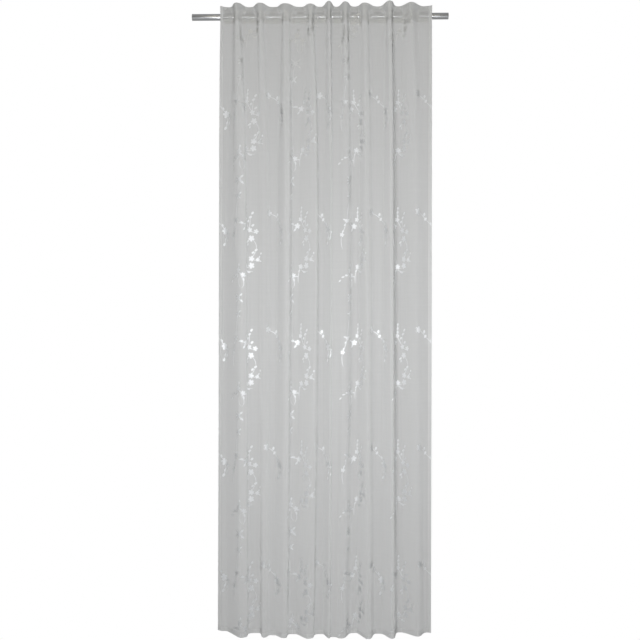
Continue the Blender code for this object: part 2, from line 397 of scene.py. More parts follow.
# %% The creases, added to the chart
# A place across the flat cloth and a height for both ends, in mm, half the crease's width, and its
# lift, which is above 0 for a ridge and below 0 for a trough
Crease = namedtuple("Crease", "across_top z_top across_foot z_foot half_width lift")
CREASES = [
    Crease(77, -170, 95, -911, 9, -1.6),
    Crease(136, -1496, 136, -2276, 7, 1.3),
    Crease(225, -1769, 223, -2354, 6, 1.5),
    Crease(212, -60, 178, -280, 6, 1.4),
    Crease(283, -794, 287, -1574, 10, -1.2),
    Crease(312, -60, 398, -320, 7, 1.3),
    Crease(520, -1184, 499, -2276, 6, 1.8),
    Crease(545, -716, 556, -1574, 12, 1.5),
    Crease(514, -60, 486, -310, 6, 1.4),
    Crease(607, -1067, 596, -2042, 6, 2.0),
    Crease(746, -60, 782, -270, 6, 1.2),
    Crease(781, -716, 783, -1574, 8, 1.2),
    Crease(853, -638, 854, -1769, 8, -1.6),
    Crease(889, -480, 880, -1730, 6, 1.8),
    Crease(1066, -60, 1000, -310, 6, 1.4),
    Crease(1039, -950, 1062, -2354, 7, 1.5),
    Crease(1250, -92, 1290, -521, 9, -1.6),
    Crease(1287, -716, 1272, -1574, 10, -1.4),
    Crease(1366, -1808, 1362, -2354, 7, -1.4),
]
# A crease isn't quite straight: it wanders by so many mm to each side, through so many radians of a
# sine. Its lift grows and fades along it as this power of a half sine.
WANDER = 2.5
WANDER_ANGLE = 7
FADE_POWER = 0.7


def crease_lift():
    """How far the creases lift each crossing of the chart off the plain folds, in metres."""
    across, height = np.meshgrid(THREADS / MM, HEIGHTS / MM)
    lift = np.zeros_like(across)
    for c in CREASES:
        t = np.clip((c.z_top - height) / (c.z_top - c.z_foot), 0, 1)
        straight = c.across_top + (c.across_foot - c.across_top) * t
        middle = straight + WANDER * np.sin(WANDER_ANGLE * t + c.z_top)
        from_middle = (across - middle) / c.half_width
        lift += c.lift * np.sin(np.pi * t) ** FADE_POWER * np.exp(-(from_middle**2))
    return lift[:, :, None] * MM


PLACES += FACING * crease_lift()
FACING = right_sides(PLACES)
print(len(CREASES), "creases, up to", max(abs(c.lift) for c in CREASES), "mm high")

# %% Read the chart, and hang flat work by it


def read_chart(chart, across, height):
    """The chart's value at flat places, by straight lines between its crossings."""
    col = np.clip(across / FLAT_WIDTH * THREAD_COUNT, 0, THREAD_COUNT - 1e-9)
    i = col.astype(int)
    t = (col - i)[:, None]
    row = np.clip(np.searchsorted(-HEIGHTS, -height) - 1, 0, len(HEIGHTS) - 2)
    s = ((HEIGHTS[row] - height) / (HEIGHTS[row] - HEIGHTS[row + 1]))[:, None]
    upper = chart[row, i] * (1 - t) + chart[row, i + 1] * t
    lower = chart[row + 1, i] * (1 - t) + chart[row + 1, i + 1] * t
    return upper * (1 - s) + lower * s


def hung(flat):
    """Where flat places hang: (from the left edge, height, above the cloth) for each."""
    flat = np.asarray(flat, float)
    return read_chart(PLACES, flat[:, 0], flat[:, 1]) + flat[:, 2:3] * read_chart(
        FACING, flat[:, 0], flat[:, 1]
    )


def hang_up(mesh):
    """Hang a flat mesh. Its flat measures stay on it, in metres, as the UV map "flat"."""
    flat = np.empty(len(mesh.vertices) * 3)
    mesh.vertices.foreach_get("co", flat)
    flat = flat.reshape(-1, 3)
    corners = np.empty(len(mesh.loops), dtype=int)
    mesh.loops.foreach_get("vertex_index", corners)
    uv = mesh.uv_layers.get("flat") or mesh.uv_layers.new(name="flat")
    uv.data.foreach_set("uv", flat[corners, :2].ravel())
    mesh.vertices.foreach_set("co", hung(flat).ravel())
    mesh.update()
    return mesh


print("chart:", len(HEIGHTS), "heights by", len(THREADS), "threads")

# %% [markdown]
# ## The panel
#
# The panel is woven in one piece. Its sides are turned to the back by 15 mm, its top and bottom by 18 mm
# and more, and those strips really lie double here, a third of a millimetre apart. It would be quicker
# to paint a hem as a paler stripe, but a real turned edge is also right from the back and in the mesh.
# On top of that, the voile's material paints the hems whiter as well, as a painted brightening. The
# panel is a single sheet without thickness, as fine as its chart.

# %% Weave and hem the panel flat, then hang it
SIDE_HEM = 0.015
BOTTOM_HEM = 0.018
TOP_HEM = 0.024
SIDE_LAYER = 0.35 * MM
TURN_LAYER = 1.05 * MM
# The way round a turned edge: distance in from the edge in mm, and the share that is turned back
ROUND_THE_EDGE = [(1.2, 0.0), (0.35, 0.12), (0.0, 0.5), (0.35, 0.88), (1.2, 1.0)]


def turned_edge(edge, inward, hem):
    """Places from the front round an edge to the end of its hem, with the share turned back."""
    path = [(edge + inward * d * MM, share) for d, share in ROUND_THE_EDGE]
    return path + [(edge + inward * hem * t, 1.0) for t in (1 / 3, 2 / 3, 1)]


def panel_lines(start, end, front, hem_start, hem_end):
    """All places along one direction, from the end of one hem to the end of the other."""
    sign = 1 if end > start else -1
    keep = ROUND_THE_EDGE[0][0] * MM * 1.4
    middle = [(p, 0.0) for p in front if min(abs(p - start), abs(p - end)) > keep]
    return turned_edge(start, sign, hem_start)[::-1] + middle + turned_edge(end, -sign, hem_end)


def flat_panel():
    columns = panel_lines(0.0, FLAT_WIDTH, THREADS, SIDE_HEM, SIDE_HEM)
    rows = panel_lines(TOP_Z, HEM_Z, HEIGHTS, TOP_HEM, BOTTOM_HEM)
    verts = []
    for z, turned in rows:
        for u, side in columns:
            at_side = SIDE_LAYER * side
            verts.append((u, z, -(at_side * (1 - turned) + (TURN_LAYER - at_side) * turned)))
    mesh = new_mesh("voile_panel_sheet", verts, faces=grid_faces(len(rows), len(columns)))
    mesh.shade_smooth()
    return mesh


panel = place("voile_sheet", hang_up(flat_panel()))
print("panel:", triangles(panel), "triangles")

# %% [markdown]
# ## The blossom sprays
#
# The pattern is woven in a glossier yarn: small five-petalled blossoms, buds and leaves on thin
# curved stems. One repeat is 345 mm wide and 457 mm tall, and the loom repeats it all over the cloth.
# The repeat is charted below, one part at a time, as an ordinary blossom pattern. Geometry Nodes then
# draw each blossom in one outline of five petals, set blossoms, buds and leaves on their places, sweep
# the stems, and lay the repeat out over the cloth. The floats of the glossy yarn stand a little proud,
# so the sprays are thin plates and not just paint.

# %% The chart of one repeat, in millimetres from its upper left corner
REPEAT_ACROSS = 345
REPEAT_DOWN = 457
Part = namedtuple("Part", "kind across down turn size")
Stem = namedtuple("Stem", "across down bend_across bend_down end_across end_down")
BLOSSOM, BUD, LEAF = 0, 1, 2

SPRAY_PARTS = [
    # The hanging chain: stars of leaves and a budded cluster on one long thin stem
    Part(BLOSSOM, 60, 8, 20, 0.75),
    Part(LEAF, 65, 3, 40, 0.9),
    Part(LEAF, 54, 7, 185, 0.9),
    Part(LEAF, 63, 13, 320, 0.8),
    Part(LEAF, 57, 14, 240, 0.7),
    Part(BLOSSOM, 42, 104, 50, 0.8),
    Part(LEAF, 47, 101, 25, 0.9),
    Part(LEAF, 37, 101, 160, 0.9),
    Part(LEAF, 36, 116, 235, 0.8),
    Part(BLOSSOM, 22, 158, 0, 0.85),
    Part(BUD, 26, 145, 60, 0.9),
    Part(BUD, 65, 276, 80, 1.0),
    Part(BLOSSOM, 60, 297, 10, 1.1),
    Part(BUD, 56, 318, 70, 1.1),
    Part(BUD, 38, 316, 170, 1.0),
    Part(LEAF, 30, 321, 195, 0.9),
    Part(LEAF, 16, 334, 225, 0.9),
    Part(BLOSSOM, 83, 315, 35, 0.95),
    Part(LEAF, 84, 327, 285, 0.9),
    Part(LEAF, 92, 318, 350, 0.7),
    Part(BLOSSOM, 63, 403, 0, 0.85),
    Part(LEAF, 69, 397, 42, 1.2),
    Part(LEAF, 57, 397, 145, 1.1),
    Part(LEAF, 70, 409, 318, 1.3),
    Part(LEAF, 57, 409, 215, 1.1),
    Part(LEAF, 55, 403, 182, 0.9),
    # The upright spray: a budded tip, a cluster, and a second cluster below on a curved stem
    Part(BUD, 114, 50, 85, 0.9),
    Part(BUD, 113, 66, 70, 1.0),
    Part(BLOSSOM, 111, 95, 0, 0.9),
    Part(BUD, 113, 80, 95, 1.0),
    Part(BUD, 137, 88, 35, 1.2),
    Part(BUD, 145, 72, 50, 1.2),
    Part(BUD, 128, 104, 60, 1.0),
    Part(BLOSSOM, 98, 121, 15, 1.1),
    Part(LEAF, 82, 113, 180, 1.2),
    Part(LEAF, 92, 131, 232, 1.1),
    Part(BUD, 147, 120, 40, 1.2),
    Part(BLOSSOM, 135, 138, 30, 0.95),
    Part(BLOSSOM, 160, 144, 0, 0.95),
    Part(BLOSSOM, 142, 171, 50, 1.2),
    Part(LEAF, 131, 180, 215, 1.1),
    Part(LEAF, 128, 190, 262, 0.8),
    Part(BUD, 161, 216, 35, 1.2),
    Part(BUD, 149, 226, 30, 1.1),
    Part(BLOSSOM, 143, 250, 0, 1.1),
    Part(BLOSSOM, 168, 254, 20, 0.8),
    Part(LEAF, 172, 247, 60, 0.7),
    Part(LEAF, 175, 258, 330, 0.7),
    Part(BUD, 181, 230, 80, 0.8),
    Part(BLOSSOM, 143, 277, 40, 1.2),
    Part(BLOSSOM, 113, 280, 10, 1.0),
    Part(LEAF, 124, 300, 345, 1.2),
    Part(LEAF, 108, 292, 240, 0.8),
    # The slanting spray: a blossom, two buds, a large blossom and a forked twig
    Part(BLOSSOM, 220, 70, 0, 1.3),
    Part(BUD, 258, 78, 80, 1.2),
    Part(BUD, 263, 96, 60, 1.2),
    Part(BLOSSOM, 297, 137, 30, 1.4),
    Part(LEAF, 287, 118, 120, 0.9),
    Part(LEAF, 308, 143, 330, 1.0),
    Part(LEAF, 318, 152, 70, 0.8),
    Part(LEAF, 314, 166, 250, 1.1),
    Part(LEAF, 302, 164, 240, 1.0),
    Part(BUD, 293, 190, 60, 1.3),
]

SPRAY_STEMS = [
    Stem(59, 14, 44, 50, 43, 98),
    Stem(38, 108, 34, 134, 23, 152),
    Stem(20, 166, 16, 190, 24, 214),
    Stem(64, 268, 64, 284, 61, 294),
    Stem(58, 306, 48, 316, 34, 320),
    Stem(60, 304, 72, 308, 82, 314),
    Stem(76, 322, 96, 350, 78, 366),
    Stem(66, 326, 60, 350, 74, 364),
    Stem(62, 412, 54, 438, 60, 462),
    Stem(116, 44, 110, 70, 112, 92),
    Stem(113, 98, 122, 120, 134, 136),
    Stem(56, 113, 72, 116, 96, 119),
    Stem(137, 92, 136, 110, 134, 132),
    Stem(138, 142, 150, 150, 160, 144),
    Stem(148, 178, 164, 190, 162, 214),
    Stem(160, 220, 152, 236, 146, 246),
    Stem(148, 254, 158, 258, 166, 255),
    Stem(136, 284, 120, 288, 114, 282),
    Stem(111, 288, 98, 310, 102, 344),
    Stem(112, 292, 130, 302, 150, 300),
    Stem(226, 74, 250, 78, 262, 96),
    Stem(265, 100, 280, 112, 294, 134),
    Stem(302, 144, 322, 150, 312, 178),
    Stem(299, 146, 306, 168, 292, 188),
]
# Where the first repeat's corner lies on the flat cloth: from the left edge, and from the rod up
FIRST_ACROSS = 77 * MM - REPEAT_ACROSS * MM
FIRST_DOWN = -0.6946 + 2 * REPEAT_DOWN * MM
STEM_POINTS = 10


def spray_plan():
    """Loose points for blossoms, buds and leaves, and wire for the stems, of one repeat."""
    verts = [(p.across * MM, -p.down * MM, 0) for p in SPRAY_PARTS]
    wire = []
    for stem in SPRAY_STEMS:
        for i in range(STEM_POINTS + 1):
            t = i / STEM_POINTS
            ways = ((1 - t) ** 2, 2 * t * (1 - t), t * t)
            x = ways[0] * stem.across + ways[1] * stem.bend_across + ways[2] * stem.end_across
            y = ways[0] * stem.down + ways[1] * stem.bend_down + ways[2] * stem.end_down
            if i:
                wire.append((len(verts) - 1, len(verts)))
            verts.append((x * MM, -y * MM, 0))
    mesh = new_mesh("spray_plan", verts, wire)
    spare = len(verts) - len(SPRAY_PARTS)
    for name, kind, values, none in (
        ("kind", "INT", [p.kind for p in SPRAY_PARTS], -1),
        ("turn", "FLOAT", [math.radians(p.turn) for p in SPRAY_PARTS], 0),
        ("size", "FLOAT", [p.size for p in SPRAY_PARTS], 0),
    ):
        attribute = mesh.attributes.new(name, kind, "POINT")
        attribute.data.foreach_set("value", values + [none] * spare)
    return mesh


print(len(SPRAY_PARTS), "blossoms, buds and leaves and", len(SPRAY_STEMS), "stems in a repeat")

# %% The trees' beginnings and ends


def new_tree(name, inputs):
    """A Geometry Nodes tree with named inputs and one geometry output."""
    tree = bpy.data.node_groups.new(name, "GeometryNodeTree")
    tree.interface.new_socket("Geometry", in_out="OUTPUT", socket_type="NodeSocketGeometry")
    tree.interface.new_socket("Geometry", in_out="INPUT", socket_type="NodeSocketGeometry")
    for label, kind in inputs.items():
        tree.interface.new_socket(label, in_out="INPUT", socket_type="NodeSocket" + kind)
    return tree, tree.nodes.new("NodeGroupInput").outputs


def close_tree(tree, geometry, material):
    """End a tree as every tree here ends: real instances, their material, and the output."""
    real = add_node(tree, "GeometryNodeRealizeInstances", {"Geometry": geometry})
    done = add_node(tree, "GeometryNodeSetMaterial", {"Geometry": real, "Material": material})
    add_node(tree, "NodeGroupOutput", {0: done})


def run_tree(obj, tree, values):
    """Run a tree on an object, with values for its named inputs, and keep the plain mesh."""
    modifier = obj.modifiers.new(tree.name, "NODES")
    modifier.node_group = tree
    for item in tree.interface.items_tree:
        if item.in_out == "INPUT" and item.name in values:
            modifier[item.identifier] = values[item.name]
    return plain_mesh(obj)


def named(tree, attribute, kind="FLOAT"):
    """The node that reads one of the plan's attributes."""
    return add_node(
        tree, "GeometryNodeInputNamedAttribute", {"data_type": kind, "Name": attribute}
    )


# %% The tree that grows the sprays
POINTS_PER_PETAL = 4
BUD_POINTS = 8
# How far the notch between two petals lies from the middle, as a share of the blossom's radius, and
# how near the way to a petal's own middle the rim reaches its full radius
NOTCH_REACH = 0.58
PETAL_FULL_AT = 0.8
# Half length and half width, and for a leaf the way from its point to its middle, as shares of the
# blossom's radius
BUD_SHARES = (0.56, 0.36)
LEAF_SHARES = (0.74, 0.34, 0.55)
SEAM = 0.001
# A stem's end is this share of its full width, which it has from this share of its length on
STEM_TIP = 0.35
STEM_FULL_FROM = 0.3


def disc(tree, points):
    """A level disc of radius 1 in two rings, rolled up from a grid; also its points' ways X and Y.

    The inner ring lets the disc bend with the cloth, where a plain fan would cut through a fold.
    """
    size = {"Size X": 1.0, "Size Y": 1.0, "Vertices X": points + 1, "Vertices Y": 3}
    grid = add_node(tree, "GeometryNodeMeshGrid", size)
    position = tree.nodes.new("GeometryNodeInputPosition")
    at = add_node(tree, "ShaderNodeSeparateXYZ", {0: position}).outputs
    angle = calc(tree, "MULTIPLY", at["X"], -math.tau)
    far = calc(tree, "ADD", at["Y"], 0.5)
    ways = [calc(tree, "MULTIPLY", calc(tree, way, angle), far) for way in ("COSINE", "SINE")]
    return grid, angle, ways


def reshaped(tree, grid, ways, long, wide, shift=0.0):
    """Move the grid's points to their ways, close its seam, and give the shape these half sizes."""
    spot = combine(tree, X=ways[0], Y=ways[1])
    moved = add_node(tree, "GeometryNodeSetPosition", {"Geometry": grid, "Position": spot})
    closed = add_node(tree, "GeometryNodeMergeByDistance", {"Distance": SEAM, "Geometry": moved})
    place_and_size = {
        "Geometry": closed,
        "Translation": combine(tree, X=shift),
        "Scale": combine(tree, X=long, Y=wide, Z=1.0),
    }
    return add_node(tree, "GeometryNodeTransform", place_and_size)


def five_petals(tree, radius):
    """A blossom in one outline: the disc's rim is drawn in between its five petals."""
    grid, angle, ways = disc(tree, 5 * POINTS_PER_PETAL)
    petal = calc(tree, "ABSOLUTE", calc(tree, "COSINE", calc(tree, "MULTIPLY", angle, 5 / 2)))
    reach = map_range(tree, petal, 0.0, PETAL_FULL_AT, NOTCH_REACH)
    ways = [calc(tree, "MULTIPLY", way, reach) for way in ways]
    return reshaped(tree, grid, ways, radius, radius)


def oval_bud(tree, radius):
    grid, _, ways = disc(tree, BUD_POINTS)
    sizes = [calc(tree, "MULTIPLY", radius, share) for share in BUD_SHARES]
    return reshaped(tree, grid, ways, *sizes)


def pointed_leaf(tree, radius):
    """A leaf that starts at the stem: squaring the way from its midrib makes both ends pointed."""
    grid, _, ways = disc(tree, BUD_POINTS)
    narrow = calc(tree, "MULTIPLY", ways[1], calc(tree, "ABSOLUTE", ways[1]))
    sizes = [calc(tree, "MULTIPLY", radius, share) for share in LEAF_SHARES]
    return reshaped(tree, grid, [ways[0], narrow], *sizes)


def spray_tree():
    """One repeat grown from its plan, then laid out in columns and rows."""
    inputs = {name: "Float" for name in ("Blossom radius", "Stem width", "Repeat across", "Repeat down")}
    inputs.update({"Columns": "Int", "Rows": "Int", "Corner": "Vector", "Material": "Material"})
    tree, given = new_tree("blossom_sprays", inputs)
    plan = given["Geometry"]

    # Each kind goes to its own points, turned and sized as charted
    turned = add_node(
        tree, "FunctionNodeEulerToRotation", {"Euler": combine(tree, Z=named(tree, "turn"))}
    )
    size = named(tree, "size")
    placed = {"Points": plan, "Rotation": turned, "Scale": combine(tree, X=size, Y=size, Z=1.0)}
    parts = []
    for kind, shape in ((BLOSSOM, five_petals), (BUD, oval_bud), (LEAF, pointed_leaf)):
        chosen = add_node(
            tree,
            "FunctionNodeCompare",
            {"data_type": "INT", "operation": "EQUAL", 2: named(tree, "kind", "INT"), 3: kind},
        )
        one_kind = {"Selection": chosen, "Instance": shape(tree, given["Blossom radius"])}
        parts.append(add_node(tree, "GeometryNodeInstanceOnPoints", {**placed, **one_kind}))

    # The stems: the plan's wire as curves, swept with a flat line that narrows to both ends
    wires = add_node(tree, "GeometryNodeMeshToCurve", {"Mesh": plan})
    level = add_node(tree, "GeometryNodeSetCurveNormal", {"mode": "Z_UP", "Curve": wires})
    way = tree.nodes.new("GeometryNodeSplineParameter").outputs["Factor"]
    narrow = map_range(
        tree, calc(tree, "PINGPONG", way, 0.5), 0.0, STEM_FULL_FROM, STEM_TIP
    )
    half = calc(tree, "MULTIPLY", given["Stem width"], 0.5)
    ends = {"Start": combine(tree, X=calc(tree, "MULTIPLY", half, -1.0)), "End": combine(tree, X=half)}
    flat_line = add_node(tree, "GeometryNodeCurvePrimitiveLine", ends)
    swept = {"Curve": level, "Profile Curve": flat_line, "Scale": narrow}
    stems = add_node(tree, "GeometryNodeCurveToMesh", swept)

    # One repeat, laid out over the cloth
    repeat = add_node(tree, "GeometryNodeJoinGeometry")
    for piece in (*parts, stems):
        tree.links.new(piece.outputs[0], repeat.inputs[0])
    one = add_node(tree, "GeometryNodeRealizeInstances", {"Geometry": repeat})
    net = {"Vertices X": given["Columns"], "Vertices Y": given["Rows"]}
    for side, count, pitch in (
        ("Size X", "Columns", "Repeat across"),
        ("Size Y", "Rows", "Repeat down"),
    ):
        gaps = calc(tree, "SUBTRACT", given[count], 1.0)
        net[side] = calc(tree, "MULTIPLY", gaps, given[pitch])
    corners = add_node(tree, "GeometryNodeMeshGrid", net)
    laid = add_node(tree, "GeometryNodeInstanceOnPoints", {"Points": corners, "Instance": one})
    moved = add_node(
        tree, "GeometryNodeTransform", {"Geometry": laid, "Translation": given["Corner"]}
    )
    close_tree(tree, moved, given["Material"])
    return tree


# %% [markdown]
# ## Cloth finishes
#
# ** Voile** is a thin plain weave of fine polyester yarn. Light goes three ways in it: a little passes straight between the threads, some is scattered through to the other side, and the rest is scattered back, with a soft gloss and a little sheen. So the material mixes a transparent shader, a translucent one and a rough Principled one. The hems really lie double and the heading really has its tape behind. On top of that, the same yarn is painted in a whiter tone there: a painted brightening that stands in for extra light on those parts. The yarn is slightly uneven, which shows as faint streaks along both directions of the weave. A thread every 0.35 mm is far too fine to show, so the streaks are drawn about 8 mm wide.
#
# Where the cloth lies on the rod it is made more open here. The photo shows the rod faintly there, but
# not why, so this share is simply given.

# %% Voile
VOILE_THREADS = "d6d6d5"
# The same yarn painted whiter: the painted brightening of the doubled hems and of the heading
HEM_THREADS_PAINTED_LIGHT = "e4e4e3"
VOILE_COVER = 0.90
VOILE_COVER_ON_ROD = 0.62
# How much the uneven yarn changes the cover, and the sums of both streaks for the least and the most
COVER_SPREAD = 0.02
STREAKS_LOW, STREAKS_HIGH = 0.6, 1.4
VOILE_THROUGH = 0.40
# The heading gets this painted brightening too, from a little below the rod up, but not as much as the
# hems
HEADING_FOOT = -18 * MM
HEADING_BLEND = 6 * MM
HEADING_PAINTED_LIGHT = 0.25
HEM_BLEND = 1.5 * MM
STREAK_WIDTH = 8 * MM
STREAK_LENGTH = 180 * MM


def new_material(name):
    """An empty material; returns it with its tree."""
    material = bpy.data.materials.new(name)
    material.use_nodes = True
    material.node_tree.nodes.clear()
    return material, material.node_tree

def close_material(material, surface):
    add_node(material.node_tree, "ShaderNodeOutputMaterial", {"Surface": surface})
    return material


def flat_measures(tree):
    """The piece's flat measures in metres, from the left edge and up."""
    return add_node(tree, "ShaderNodeUVMap", {"uv_map": "flat"}).outputs[0]


def along_warp(tree):
    """The direction of the warp, for the gloss of the yarn."""
    return add_node(tree, "ShaderNodeTangent", {"direction_type": "UV_MAP", "uv_map": "flat"})


def open_weave(tree, cover, threads):
    """Threads that cover this share of the surface, with clear gaps between them."""
    return mix_shaders(tree, cover, tree.nodes.new("ShaderNodeBsdfTransparent"), threads)


def matt_threads(tree, colour, through):
    """Threads that scatter light back, and this share of it on to the other side."""
    back = add_node(tree, "ShaderNodeBsdfDiffuse", {"Color": colour})
    onward = add_node(tree, "ShaderNodeBsdfTranslucent", {"Color": colour})
    return mix_shaders(tree, through, back, onward)


def streaks(tree, across, along):
    """Noise stretched to this size across and along the cloth, from 0 to 1."""
    scale = (1 / across, 1 / along, 1.0)
    mapped = add_node(tree, "ShaderNodeMapping", {"Scale": scale, "Vector": flat_measures(tree)})
    noise = {"Scale": 1.0, "Detail": 2.0, "Vector": mapped}
    return add_node(tree, "ShaderNodeTexNoise", noise).outputs["Fac"]


def hem_and_heading_painted_light(tree):
    """How much painted brightening a place gets: 1 on the doubled side and bottom hems, a smaller share
    on the heading, 0 on single cloth.
    """
    flat = add_node(tree, "ShaderNodeSeparateXYZ", {0: flat_measures(tree)}).outputs
    from_side = calc(tree, "PINGPONG", flat["X"], FLAT_WIDTH / 2)
    side = map_range(tree, from_side, SIDE_HEM, SIDE_HEM - HEM_BLEND)
    hem_top = HEM_Z + BOTTOM_HEM
    foot = map_range(tree, flat["Y"], hem_top, hem_top - HEM_BLEND)
    head = map_range(
        tree, flat["Y"], HEADING_FOOT, HEADING_FOOT + HEADING_BLEND, high=HEADING_PAINTED_LIGHT
    )
    return calc(tree, "MAXIMUM", calc(tree, "MAXIMUM", side, foot), head)


def on_rod_share(tree):
    """How much a layer lies on the rod, as `mark_on_rod` stores it."""
    return add_node(tree, "ShaderNodeAttribute", {"attribute_name": "on_rod"}).outputs["Fac"]


def voile_material():
    """Sheer plain weave of fine polyester yarn: it gives the soft glow and the see-through folds."""
    material, tree = new_material("polyester_voile_plain_weave")
    both = calc(
        tree,
        "ADD",
        streaks(tree, STREAK_WIDTH, STREAK_LENGTH),
        streaks(tree, STREAK_LENGTH, STREAK_WIDTH),
    )
    least, most = VOILE_COVER - COVER_SPREAD, VOILE_COVER + COVER_SPREAD
    cover = map_range(tree, both, STREAKS_LOW, STREAKS_HIGH, least, most)
    opened = VOILE_COVER_ON_ROD - VOILE_COVER
    cover = calc(tree, "MULTIPLY_ADD", on_rod_share(tree), opened, cover)
    # The yarn is painted whiter on the hems and the heading: a painted brightening of the same cloth
    tone = mix_colours(tree, hem_and_heading_painted_light(tree), VOILE_THREADS, HEM_THREADS_PAINTED_LIGHT)
    back = add_node(
        tree,
        "ShaderNodeBsdfPrincipled",
        {
            "Roughness": 0.52,
            "Diffuse Roughness": 1.0,
            "Specular IOR Level": 0.40,
            "Anisotropic": 0.4,
            "Anisotropic Rotation": 0.25,
            "Sheen Weight": 0.12,
            "Sheen Roughness": 0.35,
            "Base Color": tone,
            "Tangent": along_warp(tree),
        },
    )
    through = add_node(tree, "ShaderNodeBsdfTranslucent", {"Color": tone})
    threads = mix_shaders(tree, VOILE_THROUGH, back, through)
    return close_material(material, open_weave(tree, cover, threads))


voile = voile_material()
panel.data.materials.append(voile)
print("voile covers", VOILE_COVER, "of its surface, and", VOILE_COVER_ON_ROD, "on the rod")

# %% [markdown]
# ** Satin** is what the sprays are woven in: long floats of a smoother, whiter yarn, which catch the light as one. It lets little through, so the sprays look bright on the sheer ground. Near the heading the sprays show dull, so there the yarn's colour is painted darker, by height alone: painted shade, standing in for the weaker light and lustre that the floats catch up there. Nothing known of such cloth's own colour explains it, so this is only a match.

# %% Satin of the sprays
SATIN_YARN = "f2f3f4"
SATIN_SHINE = "ffffff"
# The sprays' yarn colour with painted shade on it, used near the heading
SATIN_PAINTED_SHADE = "dcdcda"
SATIN_COVER = 0.95
SATIN_THROUGH = 0.30
SATIN_LUSTRE = 0.18
# Painted shade on the sprays: none below the lower height, full above the upper one, towards the heading
PAINTED_SHADE_ABOVE = -0.12
UNSHADED_BELOW = -0.30


def satin_material():
    """Satin floats of smooth polyester yarn: they give the sprays their bright, silky tone."""
    material, tree = new_material("polyester_satin_float")
    height = add_node(tree, "ShaderNodeSeparateXYZ", {0: flat_measures(tree)}).outputs["Y"]
    # Painted shade near the heading: the yarn's colour darkens by height alone
    painted_shade = map_range(tree, height, UNSHADED_BELOW, PAINTED_SHADE_ABOVE)
    tone = mix_colours(tree, painted_shade, SATIN_YARN, SATIN_PAINTED_SHADE)
    lustre = add_node(
        tree,
        "ShaderNodeBsdfGlossy",
        {
            "Color": linear(SATIN_SHINE),
            "Roughness": 0.55,
            "Anisotropy": 0.5,
            "Rotation": 0.25,
            "Tangent": along_warp(tree),
        },
    )
    floats = mix_shaders(tree, SATIN_LUSTRE, matt_threads(tree, tone, SATIN_THROUGH), lustre)
    return close_material(material, open_weave(tree, SATIN_COVER, floats))


satin = satin_material()

# %% Grow the sprays flat, cut them to the panel, thicken them and hang them
BLOSSOM_RADIUS = 10.5 * MM
STEM_WIDTH = 2.2 * MM
SPRAY_COLUMNS = 5
SPRAY_ROWS = 6
SPRAY_HEIGHT = 0.6 * MM
SPRAY_MARGIN = 1.5 * MM


def cut_to_panel(mesh):
    """Take away what would lie beyond the panel's edges."""
    work = bmesh.new()
    work.from_mesh(mesh)
    beyond = [
        v
        for v in work.verts
        if not (
            SPRAY_MARGIN < v.co.x < FLAT_WIDTH - SPRAY_MARGIN
            and HEM_Z + SPRAY_MARGIN < v.co.y < TOP_Z - SPRAY_MARGIN
        )
    ]
    bmesh.ops.delete(work, geom=beyond, context="VERTS")
    work.to_mesh(mesh)
    work.free()


middle_across = FIRST_ACROSS + (SPRAY_COLUMNS - 1) * REPEAT_ACROSS * MM / 2
middle_down = FIRST_DOWN - (SPRAY_ROWS - 1) * REPEAT_DOWN * MM / 2
sprays = place("blossom_sprays", spray_plan())
run_tree(
    sprays,
    spray_tree(),
    {
        "Blossom radius": BLOSSOM_RADIUS,
        "Stem width": STEM_WIDTH,
        "Repeat across": REPEAT_ACROSS * MM,
        "Repeat down": REPEAT_DOWN * MM,
        "Columns": SPRAY_COLUMNS,
        "Rows": SPRAY_ROWS,
        "Corner": (middle_across, middle_down, 0.0),
        "Material": satin,
    },
)
cut_to_panel(sprays.data)
thicken(sprays, SPRAY_HEIGHT, 0.0)
hang_up(sprays.data)
smooth(sprays.data, 60)
print("sprays:", triangles(sprays), "triangles")

# %% [markdown]
# ## The heading tape
#
# A woven tape 60 mm tall is taken to be sewn along the back of the heading, as on such panels. Where
# it is pressed on the rod, and above the rod there, it is drawn nearly open here. In the
# photo the rod shows through at most of the loops, and a closed tape would hide it. How the real tape
# lets it show can't be seen, so this is a guess. The share is kept on the tape's points.

# %% Tape
TAPE_TOP = 0.030
TAPE_BOTTOM = -0.030
TAPE_INSET = 0.020
TAPE_BEHIND = 1.2 * MM
TAPE_THICKNESS = 0.6 * MM
TAPE_YARN = "f0efe9"
TAPE_COVER = 0.92
TAPE_COVER_ON_ROD = 0.10
TAPE_THROUGH = 0.3
ROD_RADIUS = 0.0125
# How far ahead of its place on the rod a layer still touches it, and from where it is clear
TOUCHES_ROD = 0.6 * MM
CLEAR_OF_ROD = 3.0 * MM
# The height over which a share fades out above and below the rod
FADE = 3 * MM


def flat_tape():
    columns = [u for u in THREADS if TAPE_INSET <= u <= FLAT_WIDTH - TAPE_INSET]
    rows = np.linspace(TAPE_TOP, TAPE_BOTTOM, 7)
    verts = [(u, z, -TAPE_BEHIND) for z in rows for u in columns]
    return new_mesh("tape_band", verts, faces=grid_faces(len(rows), len(columns)))


def mark_on_rod(mesh, behind, above):
    """Store where a layer lies on the rod: 1 there, 0 where it stands off or is below the rod.

    above is the value for the same flat places between the rod and the top edge.
    """
    places = np.empty(len(mesh.vertices) * 3)
    mesh.vertices.foreach_get("co", places)
    _, y, z = places.reshape(-1, 3).T
    ahead = VOILE_Y - y + behind
    pressed = np.clip((CLEAR_OF_ROD - ahead) / (CLEAR_OF_ROD - TOUCHES_ROD), 0, 1)
    level = np.clip((ROD_RADIUS + FADE + z) / FADE, 0, 1)
    level *= 1 - (1 - above) * np.clip((z - ROD_RADIUS) / FADE, 0, 1)
    mesh.attributes.new("on_rod", "FLOAT", "POINT").data.foreach_set("value", pressed * level)


